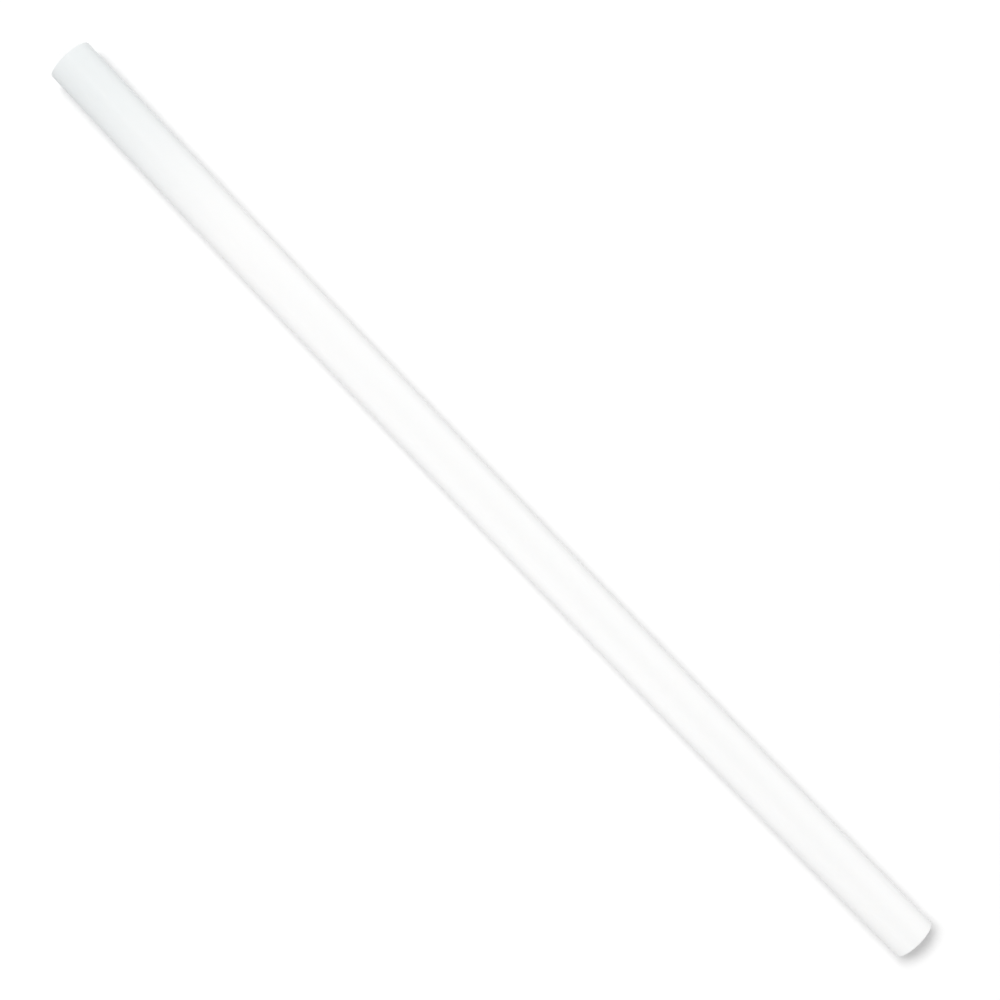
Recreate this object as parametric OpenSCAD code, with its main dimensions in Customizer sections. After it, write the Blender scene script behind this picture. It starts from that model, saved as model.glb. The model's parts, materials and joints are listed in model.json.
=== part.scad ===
// Reusable drinking straw: one straight round tube of soft rubber, open at both ends.
// It lies along X on the plane Z = 0, with the middle of its length above the origin.

/* [Tube] */
// Length of the straw from end to end
tube_length = 250; // [120:1:320]
// Diameter of the outside
outer_diameter = 10; // [7:0.1:14]
// Thickness of the wall
wall_thickness = 1.25; // [0.6:0.05:2]

/* [Ends] */
// Radius of the rounding on the outside edge of each end, where the lips rest
outer_lip_radius = 0.2; // [0.1:0.05:1]
// Radius of the rounding on the bore's edge at each end
bore_lip_radius = 0.2; // [0.1:0.05:0.6]

/* [Rest] */
// How far the soft wall flattens along the line that the straw lies on
flat_depth = 0.08; // [0.02:0.01:0.3]

/* [Hidden] */

// Facets round a full turn in a preview
$fn = 96;
// The largest share of the wall that one lip may round off, so that a flat rim stays between the two
lip_share = 0.45;

outer_radius = outer_diameter / 2;
bore_radius = outer_radius - wall_thickness;
largest_lip = lip_share * wall_thickness;
outer_lip = min(outer_lip_radius, largest_lip);
bore_lip = min(bore_lip_radius, largest_lip);
axis_height = outer_radius - flat_depth;

// What a rounding takes off a corner whose material fills the quadrant above and to the right of it
module corner_waste(rounding) {
    difference() {
        square(2 * rounding, center = true);
        translate([rounding, rounding])
            circle(rounding);
    }
}

// The two roundings at the lower end of the wall's section
module end_waste() {
    translate([bore_radius, 0])
        corner_waste(bore_lip);
    translate([outer_radius, 0])
        mirror([1, 0])
            corner_waste(outer_lip);
}

// Half of a lengthwise cut through the tube: the distance from the axis is X, the place along it is Y
module wall_section() {
    difference() {
        translate([bore_radius, 0])
            square([wall_thickness, tube_length]);
        end_waste();
        translate([0, tube_length])
            mirror([0, 1])
                end_waste();
    }
}

// The tube as it is moulded, turned from its section and laid down along X
module round_tube() {
    translate([-tube_length / 2, 0, axis_height])
        rotate([0, 90, 0])
            rotate_extrude()
                wall_section();
}

// The space below the surface that the straw lies on, longer and wider than the straw
module below_surface() {
    translate([0, 0, -outer_radius / 2])
        cube([tube_length + outer_diameter, outer_diameter, outer_radius], center = true);
}

// The tube at rest, with the narrow flat that its own weight gives the soft wall
module straw_tube() {
    color("white")
        difference() {
            round_tube();
            below_surface();
        }
}

straw_tube();
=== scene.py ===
"""A reusable drinking straw of soft white rubber, lying on a white table under soft light."""

import json
import logging
import math
from collections.abc import Iterable
from dataclasses import dataclass
from enum import Enum

import bmesh
import bpy
from mathutils import Matrix, Vector


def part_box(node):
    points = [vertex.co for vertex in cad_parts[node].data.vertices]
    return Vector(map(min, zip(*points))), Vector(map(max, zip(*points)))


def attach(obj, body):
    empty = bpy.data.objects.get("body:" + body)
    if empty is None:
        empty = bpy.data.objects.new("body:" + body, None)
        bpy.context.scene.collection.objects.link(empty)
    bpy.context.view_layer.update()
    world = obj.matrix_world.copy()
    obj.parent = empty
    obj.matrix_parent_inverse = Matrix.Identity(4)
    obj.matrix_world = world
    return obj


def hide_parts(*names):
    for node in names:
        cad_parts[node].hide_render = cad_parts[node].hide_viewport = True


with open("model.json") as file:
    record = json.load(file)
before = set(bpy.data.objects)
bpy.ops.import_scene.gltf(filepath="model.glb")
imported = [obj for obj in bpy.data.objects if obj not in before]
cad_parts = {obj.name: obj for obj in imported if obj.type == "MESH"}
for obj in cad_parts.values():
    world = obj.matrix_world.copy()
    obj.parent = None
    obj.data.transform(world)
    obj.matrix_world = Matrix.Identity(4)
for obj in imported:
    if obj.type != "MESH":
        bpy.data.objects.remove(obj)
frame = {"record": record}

MILLIMETRE = 0.001
STRAW_NODE = "straw_tube"
ONLY_BODY = "root"
STRAIGHT_PLACE = "straight_place"
WHITE = (1.0, 1.0, 1.0, 1.0)
BACKDROP_STRENGTH = 1.0

Colour = tuple[float, float, float, float]
Socket = bpy.types.NodeSocket

log = logging.getLogger("drinking_straw")


class Mount(Enum):
    """The straw's two round interfaces, by their names in the record."""

    BORE = "bore"
    OUTSIDE = "outside"


class Slope(Enum):
    """How a ramp runs from its start to its end, by the node's own names."""

    EVEN = "LINEAR"
    EASED = "SMOOTHSTEP"


class Blend(Enum):
    """How one colour goes over another, by the node's own names."""

    COVER = "MIX"
    TINT = "MULTIPLY"


@dataclass(frozen=True)
class RoundWall:
    """One of the straw's two round walls, as the record gives it, in metres.

    Attributes:
        radius: The wall's radius.
        length: How long the wall is between the roundings at its ends.
        axis_height: How high its axis lies above the table.
    """

    radius: float
    length: float
    axis_height: float

    @classmethod
    def of(cls, mount: Mount) -> "RoundWall":
        """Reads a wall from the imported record.

        Args:
            mount: Which of the two round walls to read.

        Returns:
            The wall's radius, its straight length and the height of its axis.
        """
        found = next(m for m in frame["record"]["mounts"] if m["name"] == mount.value)
        return cls(
            radius=found["dims"]["r_mm"] * MILLIMETRE,
            length=found["dims"]["length_mm"] * MILLIMETRE,
            axis_height=found["pos_m"][2],
        )


@dataclass(frozen=True)
class NodeSketch:
    """Adds and joins the nodes of one node tree."""

    tree: bpy.types.NodeTree

    @classmethod
    def on(cls, owner: bpy.types.Material | bpy.types.World) -> "NodeSketch":
        """Starts an empty node tree.

        Args:
            owner: The material or the world that the nodes are for.

        Returns:
            The sketch that fills its tree.
        """
        owner.use_nodes = True
        owner.node_tree.nodes.clear()
        return cls(owner.node_tree)

    def add(
        self, kind: str, feeds: dict[str | int, object] | None = None, **settings: object
    ) -> bpy.types.Node:
        """Adds a node.

        Args:
            kind: The node's type, such as ShaderNodeMapping.
            feeds: What its inputs get, by name or place: a fixed value, or another node's output.
            settings: The node's own properties.

        Returns:
            The new node.
        """
        node = self.tree.nodes.new(kind)
        for name, setting in settings.items():
            setattr(node, name, setting)
        for name, source in (feeds or {}).items():
            self.feed(node.inputs[name], source)
        return node

    def feed(self, end: Socket, source: object) -> None:
        """Joins another node's output to an input, or gives the input a fixed value.

        Args:
            end: The input.
            source: The output, or the value.
        """
        if isinstance(source, Socket):
            self.tree.links.new(source, end)
        else:
            end.default_value = source

    def sum(self, first: Socket, second: Socket) -> Socket:
        """Adds two values."""
        return self.add("ShaderNodeMath", {0: first, 1: second}, operation="ADD").outputs[0]

    def product(self, first: Socket, second: Socket | float) -> Socket:
        """Multiplies a value by another, or by a fixed factor."""
        return self.add("ShaderNodeMath", {0: first, 1: second}, operation="MULTIPLY").outputs[0]

    def magnitude(self, value: Socket) -> Socket:
        """A value without its sign."""
        return self.add("ShaderNodeMath", {0: value}, operation="ABSOLUTE").outputs[0]

    def along(self, place: Socket) -> Socket:
        """The X of a place, which runs along the straw."""
        return self.add("ShaderNodeSeparateXYZ", {"Vector": place}).outputs["X"]

    def ramp(
        self,
        value: Socket,
        span: tuple[float, float],
        onto: tuple[float, float] = (0.0, 1.0),
        slope: Slope = Slope.EVEN,
    ) -> Socket:
        """Maps a span of a value onto another span, and holds it level past both ends.

        Args:
            value: The value to map.
            span: Where the ramp starts and ends.
            onto: What it gives at its start and at its end.
            slope: How it runs between them.

        Returns:
            The mapped value.
        """
        node = self.add(
            "ShaderNodeMapRange",
            {"Value": value, "From Min": span[0], "From Max": span[1], "To Min": onto[0], "To Max": onto[1]},
            interpolation_type=slope.value,
        )
        return node.outputs["Result"]

    def mix_colours(
        self, factor: Socket, under: Socket | Colour, over: Socket | Colour, blend: Blend = Blend.COVER
    ) -> Socket:
        """Lays one colour over another.

        Args:
            factor: How much of the upper colour counts, from nought to one.
            under: The lower colour.
            over: The upper colour.
            blend: How the upper colour goes over the lower one.

        Returns:
            The mixed colour.
        """
        node = self.add("ShaderNodeMix", {"Factor": factor}, data_type="RGBA", blend_type=blend.value)
        lower, upper, mixed = (socket for socket in (*node.inputs, *node.outputs) if socket.type == "RGBA")
        self.feed(lower, under)
        self.feed(upper, over)
        return mixed

    def mix_shaders(self, factor: Socket, none: Socket, full: Socket) -> Socket:
        """Goes from one shader, where the factor is nought, to another, where it is one."""
        return self.add("ShaderNodeMixShader", {"Fac": factor, 1: none, 2: full}).outputs["Shader"]

    def shown(self) -> Socket:
        """One for the rays that show the surroundings: the camera's, and those of mirrors and glass."""
        rays = self.add("ShaderNodeLightPath").outputs
        return self.sum(self.sum(rays["Is Camera Ray"], rays["Is Glossy Ray"]), rays["Is Transmission Ray"])


@dataclass(frozen=True)
class NoisePattern:
    """A soft random pattern in the rubber.

    Attributes:
        size: How large its features are along X, Y and Z, in metres.
        octaves: How many finer layers it has.
        relief: How high it stands where the rubber has a relief from it, in metres.
        falloff: How much of its strength each finer layer keeps.
    """

    size: tuple[float, float, float]
    octaves: float
    relief: float = 0.0
    falloff: float = 0.55

    def draw(self, sketch: NodeSketch, place: Socket) -> Socket:
        """Adds the pattern to a node tree.

        Args:
            sketch: The tree to add it to.
            place: The coordinates that it reads.

        Returns:
            The pattern's value.
        """
        scale = tuple(1 / extent for extent in self.size)
        mapping = sketch.add("ShaderNodeMapping", {"Vector": place, "Scale": scale})
        noise = sketch.add(
            "ShaderNodeTexNoise",
            {
                "Vector": mapping.outputs["Vector"],
                "Scale": 1.0,
                "Detail": self.octaves,
                "Roughness": self.falloff,
            },
        )
        return noise.outputs["Fac"]


@dataclass(frozen=True)
class WhiteRubber:
    """The straw's finish: satin white silicone rubber, drawn through a die and cut at both ends.

    Every pattern follows the tube as it lay before it took its bow.

    Attributes:
        pale: The clearest white in it.
        milky: The white of its faint clouds.
        clouds: The clouds.
        painted_end_shade: Painted shade, a cool grey tint over the end at the lowest X, standing in for the
            shade that falls on that end.
        painted_end_shade_run: How far the painted shade reaches from that end, in metres.
        roughness: The gloss at the two ends of line_span.
        line_span: The values of the die lines between which the gloss varies.
        refraction: The rubber's refractive index.
        scatter_share: How much of the light scatters under the surface.
        scatter_depth: How deep it goes there, in metres.
        scatter_reach: How much of that depth red, green and blue light reach.
        die_lines: The faint lines that the die draws along the tube.
        satin_grain: The fine grain of the walls.
        cut_grain: The coarser grain of the cut rims.
    """

    pale: Colour = (0.925, 0.925, 0.921, 1.0)
    milky: Colour = (0.908, 0.910, 0.908, 1.0)
    clouds: NoisePattern = NoisePattern(size=(0.030, 0.030, 0.030), octaves=3.0)
    # Painted shade: a cool grey tint that darkens the end at the lowest X, standing in for the shade that
    # falls on that end.
    painted_end_shade: Colour = (0.875, 0.902, 0.909, 1.0)
    painted_end_shade_run: float = 0.055
    roughness: tuple[float, float] = (0.46, 0.58)
    line_span: tuple[float, float] = (0.3, 0.7)
    refraction: float = 1.41
    scatter_share: float = 0.15
    scatter_depth: float = 0.0012
    scatter_reach: tuple[float, float, float] = (1.0, 0.95, 0.9)
    die_lines: NoisePattern = NoisePattern(size=(0.060, 0.00045, 0.00045), octaves=2.0, relief=0.000006)
    satin_grain: NoisePattern = NoisePattern(
        size=(0.00035, 0.00035, 0.00035), octaves=2.0, relief=0.0000035
    )
    cut_grain: NoisePattern = NoisePattern(size=(0.00022, 0.00022, 0.00022), octaves=4.0, relief=0.000012)

    def material(self, length: float, rounding: float) -> bpy.types.Material:
        """Builds the material.

        Args:
            length: The straw's length from end to end.
            rounding: The radius of the rounding at the outside of its ends.

        Returns:
            The finished material.
        """
        material = bpy.data.materials.new("white_rubber")
        sketch = NodeSketch.on(material)
        place = sketch.add("ShaderNodeAttribute", attribute_name=STRAIGHT_PLACE).outputs["Vector"]
        lines = self.die_lines.draw(sketch, place)
        shader = sketch.add(
            "ShaderNodeBsdfPrincipled",
            {
                "Base Color": self._colour(sketch, place, length),
                "Roughness": sketch.ramp(lines, self.line_span, self.roughness),
                "Normal": self._relief(sketch, place, lines, length, rounding),
                "IOR": self.refraction,
                "Subsurface Weight": self.scatter_share,
                "Subsurface Scale": self.scatter_depth,
                "Subsurface Radius": self.scatter_reach,
            },
        )
        sketch.add("ShaderNodeOutputMaterial", {"Surface": shader.outputs["BSDF"]})
        return material

    def _colour(self, sketch: NodeSketch, place: Socket, length: float) -> Socket:
        """White with faint milky clouds in it, with painted shade that makes it a little cooler and greyer
        towards the end at the lowest X.

        Args:
            sketch: The tree to add it to.
            place: The coordinates of the straight tube.
            length: The straw's length from end to end.

        Returns:
            The colour.
        """
        white = sketch.mix_colours(self.clouds.draw(sketch, place), self.milky, self.pale)
        end = -length / 2
        # Painted shade: tints the end at the lowest X cooler and greyer, standing in for the shade that
        # falls there.
        end_shade_share = sketch.ramp(sketch.along(place), (self.painted_end_shade_run + end, end), slope=Slope.EASED)
        return sketch.mix_colours(end_shade_share, white, self.painted_end_shade, Blend.TINT)

    def _relief(
        self, sketch: NodeSketch, place: Socket, lines: Socket, length: float, rounding: float
    ) -> Socket:
        """The fine relief: die lines and satin grain on the walls, and a coarser grain on the cut rims.

        Args:
            sketch: The tree to add it to.
            place: The coordinates of the straight tube.
            lines: The die lines' value.
            length: The straw's length from end to end.
            rounding: The radius of the rounding at the outside of its ends.

        Returns:
            The bumped normal.
        """
        end = length / 2
        from_middle = sketch.magnitude(sketch.along(place))
        rim_relief = sketch.ramp(from_middle, (end - rounding, end), (0.0, self.cut_grain.relief))
        drawn = sketch.product(lines, self.die_lines.relief)
        satin = sketch.product(self.satin_grain.draw(sketch, place), self.satin_grain.relief)
        cut = sketch.product(self.cut_grain.draw(sketch, place), rim_relief)
        height = sketch.sum(sketch.sum(drawn, satin), cut)
        bump = sketch.add("ShaderNodeBump", {"Height": height, "Strength": 1.0, "Distance": 1.0})
        return bump.outputs["Normal"]


def place_in_scene(name: str, shape: bmesh.types.BMesh, material: bpy.types.Material) -> bpy.types.Object:
    """Turns a finished shape into an object of the scene.

    Args:
        name: The name of the object and of its mesh.
        shape: The shape, which is used up.
        material: What the object is made of.

    Returns:
        The object, with its place in its mesh.
    """
    mesh = bpy.data.meshes.new(name)
    shape.to_mesh(mesh)
    shape.free()
    mesh.materials.append(material)
    made = bpy.data.objects.new(name, mesh)
    bpy.context.scene.collection.objects.link(made)
    return made


@dataclass(frozen=True)
class StrawTube:
    """The straw itself: one tube of even wall, with rounded rims, as it lies on the table.

    Lengths are in metres.

    Attributes:
        length: The straw's length from end to end.
        outside: Its outer wall.
        bore: Its inner wall.
        finish: What it is made of.
        bow: How far the middle of the soft tube lies from the line between its ends, along Y.
        stations: How many stretches the walls have along the tube.
        sides: How many faces go round it.
        lip_steps: How many faces each rounding has across it.
        weld_distance: How close points lie that are joined into one.
    """

    length: float
    outside: RoundWall
    bore: RoundWall
    finish: WhiteRubber
    bow: float = -0.00088
    stations: int = 96
    sides: int = 144
    lip_steps: int = 8
    weld_distance: float = 0.000001

    @property
    def outer_lip(self) -> float:
        """Radius of the rounding at the outside of each end."""
        return (self.length - self.outside.length) / 2

    @property
    def bore_lip(self) -> float:
        """Radius of the rounding at the bore's edge."""
        return (self.length - self.bore.length) / 2

    def build(self) -> bpy.types.Object:
        """Builds the tube and dresses it.

        Returns:
            The finished piece, with its place in its mesh.
        """
        shape = bmesh.new()
        self._draw_section(shape)
        self._turn(shape)
        self._mark_straight_places(shape)
        self._settle(shape)
        self._take_bow(shape)
        bmesh.ops.recalc_face_normals(shape, faces=shape.faces)
        for face in shape.faces:
            face.smooth = True
        return place_in_scene("soft_straw", shape, self.finish.material(self.length, self.outer_lip))

    def _draw_section(self, shape: bmesh.types.BMesh) -> None:
        """Draws the wall's section: a long slim rectangle above the axis, with its corners rounded.

        Args:
            shape: The empty shape to draw it in.
        """
        axis = self.outside.axis_height
        corners = [
            shape.verts.new((end * self.length / 2, 0, axis + radius))
            for end, radius in (
                (-1, self.bore.radius),
                (1, self.bore.radius),
                (1, self.outside.radius),
                (-1, self.outside.radius),
            )
        ]
        for corner, following in zip(corners, corners[1:] + corners[:1]):
            shape.edges.new((corner, following))
        self._round(shape, corners[:2], self.bore_lip)
        self._round(shape, corners[2:], self.outer_lip)
        long_edges = [edge for edge in shape.edges if edge.calc_length() > self.length / 2]
        bmesh.ops.subdivide_edges(shape, edges=long_edges, cuts=self.stations - 1)

    def _round(self, shape: bmesh.types.BMesh, corners: Iterable[bmesh.types.BMVert], radius: float) -> None:
        """Rounds corners of the section.

        Args:
            shape: The section.
            corners: The corners to round.
            radius: How large the rounding is.
        """
        bmesh.ops.bevel(
            shape,
            geom=list(corners),
            offset=radius,
            offset_type="OFFSET",
            segments=self.lip_steps,
            profile=0.5,
            affect="VERTICES",
            material=-1,
        )

    def _turn(self, shape: bmesh.types.BMesh) -> None:
        """Turns the section once round the tube's axis.

        Args:
            shape: The section, which becomes the tube.
        """
        bmesh.ops.spin(
            shape,
            geom=shape.verts[:] + shape.edges[:],
            cent=(0, 0, self.outside.axis_height),
            axis=(1, 0, 0),
            angle=math.tau,
            steps=self.sides,
            use_merge=True,
        )
        bmesh.ops.remove_doubles(shape, verts=shape.verts, dist=self.weld_distance)

    def _mark_straight_places(self, shape: bmesh.types.BMesh) -> None:
        """Keeps where each point lies on the straight tube, for the finish to follow.

        Args:
            shape: The tube, while it is still straight and round.
        """
        layer = shape.verts.layers.float_vector.new(STRAIGHT_PLACE)
        for vert in shape.verts:
            vert[layer] = vert.co - Vector((0, 0, self.outside.axis_height))

    def _settle(self, shape: bmesh.types.BMesh) -> None:
        """Lets the soft wall lie flat on the table along its lowest line."""
        for vert in shape.verts:
            vert.co.z = max(vert.co.z, 0.0)

    def _take_bow(self, shape: bmesh.types.BMesh) -> None:
        """Bends the tube sideways into its slight bow, with its sections kept square to it.

        Args:
            shape: The straight tube, which is bent.
        """
        half = self.length / 2
        for vert in shape.verts:
            share = vert.co.x / half
            slope = -2 * self.bow * share / half
            vert.co.x -= slope * vert.co.y
            vert.co.y += self.bow * (1 - share * share) - self.bow / 2


@dataclass(frozen=True)
class TableTop:
    """The plain white table, wide enough to fill every view.

    Its paint has two colours, so that it shows white and still sends little light back to the straw.

    Attributes:
        radius: How far it reaches, in metres.
        sides: How many straight sides its edge has.
        fade_start: How far from the straw's middle it starts to fade into the white backdrop, in metres.
        fade_end: How far from there only the backdrop's white is left, in metres.
        seen_colour: The colour that the picture and the reflections show.
        lit_colour: The colour that sends light back to the straw.
    """

    radius: float = 6.0
    sides: int = 64
    fade_start: float = 0.18
    fade_end: float = 0.45
    seen_colour: Colour = WHITE
    lit_colour: Colour = (0.50, 0.50, 0.50, 1.0)

    def build(self) -> bpy.types.Object:
        """Builds the table top.

        Returns:
            The table top.
        """
        shape = bmesh.new()
        bmesh.ops.create_circle(shape, cap_ends=True, segments=self.sides, radius=self.radius)
        table = place_in_scene("table_top", shape, self._material())
        return table

    def _material(self) -> bpy.types.Material:
        """Matt white paint that meets the backdrop without an edge.

        Returns:
            The finished material.
        """
        material = bpy.data.materials.new("white_table")
        sketch = NodeSketch.on(material)
        material.cycles.emission_sampling = "NONE"
        lit = sketch.add("ShaderNodeBsdfDiffuse", {"Color": self.lit_colour})
        seen = sketch.add("ShaderNodeBsdfDiffuse", {"Color": self.seen_colour})
        backdrop = sketch.add("ShaderNodeEmission", {"Color": WHITE, "Strength": BACKDROP_STRENGTH})
        fading = sketch.mix_shaders(self._fade(sketch), seen.outputs["BSDF"], backdrop.outputs["Emission"])
        paint = sketch.mix_shaders(sketch.shown(), lit.outputs["BSDF"], fading)
        sketch.add("ShaderNodeOutputMaterial", {"Surface": paint})
        return material

    def _fade(self, sketch: NodeSketch) -> Socket:
        """Nought round the straw, rising to one where only the backdrop's white is left.

        Args:
            sketch: The tree to add it to.

        Returns:
            The share of the backdrop.
        """
        place = sketch.add("ShaderNodeTexCoord").outputs["Object"]
        reach = sketch.add("ShaderNodeVectorMath", {0: place}, operation="LENGTH").outputs["Value"]
        return sketch.ramp(reach, (self.fade_start, self.fade_end), slope=Slope.EASED)


@dataclass(frozen=True)
class Softbox:
    """One soft lamp, placed by where it stands round the straw, and aimed at the table under its middle.

    Attributes:
        name: The lamp's name.
        azimuth: Its direction from the straw's middle, in degrees from X towards Y.
        elevation: Its angle above the table, in degrees.
        distance: How far away it stands, in metres.
        width: The width of its pane, in metres.
        height: The height of its pane, in metres.
        watts: Its power.
    """

    name: str
    azimuth: float
    elevation: float
    distance: float
    width: float
    height: float
    watts: float

    def build(self) -> bpy.types.Object:
        """Builds the lamp.

        Returns:
            The lamp, which the camera doesn't see.
        """
        lamp = bpy.data.lights.new(self.name, "AREA")
        lamp.shape = "RECTANGLE"
        lamp.size = self.width
        lamp.size_y = self.height
        lamp.energy = self.watts
        box = bpy.data.objects.new(self.name, lamp)
        azimuth, elevation = math.radians(self.azimuth), math.radians(self.elevation)
        level = math.cos(elevation)
        away = Vector((level * math.cos(azimuth), level * math.sin(azimuth), math.sin(elevation)))
        box.location = away * self.distance
        box.rotation_euler = away.to_track_quat("Z", "Y").to_euler()
        box.visible_camera = False
        bpy.context.scene.collection.objects.link(box)
        return box


@dataclass(frozen=True)
class LightTent:
    """The soft light from all round, with its softboxes. The tent itself shows as plain white.

    Attributes:
        level: How strongly the tent lights the straw.
        key: The main light, from the end at the lowest X, high up.
        near_fill: The low light on the side at the lowest Y, which is the lower one in the picture.
        far_fill: The low light on the other side.
        end_fill: The faint light on the end at the highest X.
    """

    level: float = 0.48
    key: Softbox = Softbox(
        "key", azimuth=180, elevation=63, distance=3.0, width=1.4, height=0.7, watts=49.5
    )
    near_fill: Softbox = Softbox(
        "near_fill", azimuth=-86, elevation=4, distance=0.25, width=0.25, height=0.11, watts=0.255
    )
    far_fill: Softbox = Softbox(
        "far_fill", azimuth=92, elevation=4, distance=0.6, width=0.7, height=0.2, watts=1.5
    )
    end_fill: Softbox = Softbox(
        "end_fill", azimuth=0, elevation=35, distance=0.5, width=0.8, height=0.2, watts=0.18
    )

    def build(self) -> None:
        """Builds the tent's glow and its softboxes."""
        world = bpy.data.worlds.new("light_tent")
        sketch = NodeSketch.on(world)
        glow = sketch.add("ShaderNodeBackground", {"Color": WHITE, "Strength": self.level})
        backdrop = sketch.add("ShaderNodeBackground", {"Color": WHITE, "Strength": BACKDROP_STRENGTH})
        mix = sketch.mix_shaders(
            sketch.shown(), glow.outputs["Background"], backdrop.outputs["Background"]
        )
        sketch.add("ShaderNodeOutputWorld", {"Surface": mix})
        bpy.context.scene.world = world
        for softbox in (self.key, self.near_fill, self.far_fill, self.end_fill):
            softbox.build()
            log.info("softbox %s", softbox.name)


@dataclass(frozen=True)
class Viewpoint:
    """Where the picture is taken from: above the straw, which runs down the picture from corner to corner.

    Attributes:
        offset: The camera's X and Y, in metres.
        height: Its height above the straw's axis, in metres.
        aim: The X and Y of the point on the axis's level that it looks at, in metres.
        roll: How far the straw is turned clockwise from the picture's width, in degrees.
        lens: Its focal length, in millimetres.
        sensor: The width of its sensor, in millimetres.
        clip_start: How near it sees, in metres.
    """

    offset: tuple[float, float] = (-0.0113, 0.00044)
    height: float = 0.421
    aim: tuple[float, float] = (0.00025, 0.00154)
    roll: float = 46.19
    lens: float = 73.94
    sensor: float = 36.0
    clip_start: float = 0.01

    def build(self, axis_height: float) -> bpy.types.Object:
        """Builds the camera and makes it the scene's own.

        Args:
            axis_height: The height of the straw's axis above the table.

        Returns:
            The camera.
        """
        optics = bpy.data.cameras.new("camera")
        optics.lens = self.lens
        optics.sensor_width = self.sensor
        optics.clip_start = self.clip_start
        camera = bpy.data.objects.new("camera", optics)
        place = Vector((*self.offset, axis_height + self.height))
        ahead = (Vector((*self.aim, axis_height)) - place).normalized()
        along = (Vector((1, 0, 0)) - ahead * ahead.x).normalized()
        below = ahead.cross(along)
        turn = math.radians(self.roll)
        right = along * math.cos(turn) - below * math.sin(turn)
        down = along * math.sin(turn) + below * math.cos(turn)
        axes = Matrix((right, -down, -ahead)).transposed()
        camera.matrix_world = Matrix.Translation(place) @ axes.to_4x4()
        bpy.context.scene.collection.objects.link(camera)
        bpy.context.scene.camera = camera
        return camera


def corners(bounds: tuple[Vector, Vector]) -> list[list[float]]:
    """A box's two corners as plain lists."""
    return [list(corner) for corner in bounds]


def main() -> None:
    """Builds the straw, the table, the light and the camera."""
    logging.basicConfig(level=logging.INFO, format="%(name)s: %(message)s")
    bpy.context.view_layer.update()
    outside, bore = RoundWall.of(Mount.OUTSIDE), RoundWall.of(Mount.BORE)
    low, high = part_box(STRAW_NODE)
    straw = StrawTube(length=high.x - low.x, outside=outside, bore=bore, finish=WhiteRubber())
    piece = straw.build()
    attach(piece, ONLY_BODY)
    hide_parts(STRAW_NODE)
    log.info("%s: %d faces, on body %s", piece.name, len(piece.data.polygons), ONLY_BODY)

    TableTop().build()
    LightTent().build()
    Viewpoint().build(outside.axis_height)
    bpy.context.scene.view_settings.view_transform = "Standard"


if __name__ == "__main__":
    main()
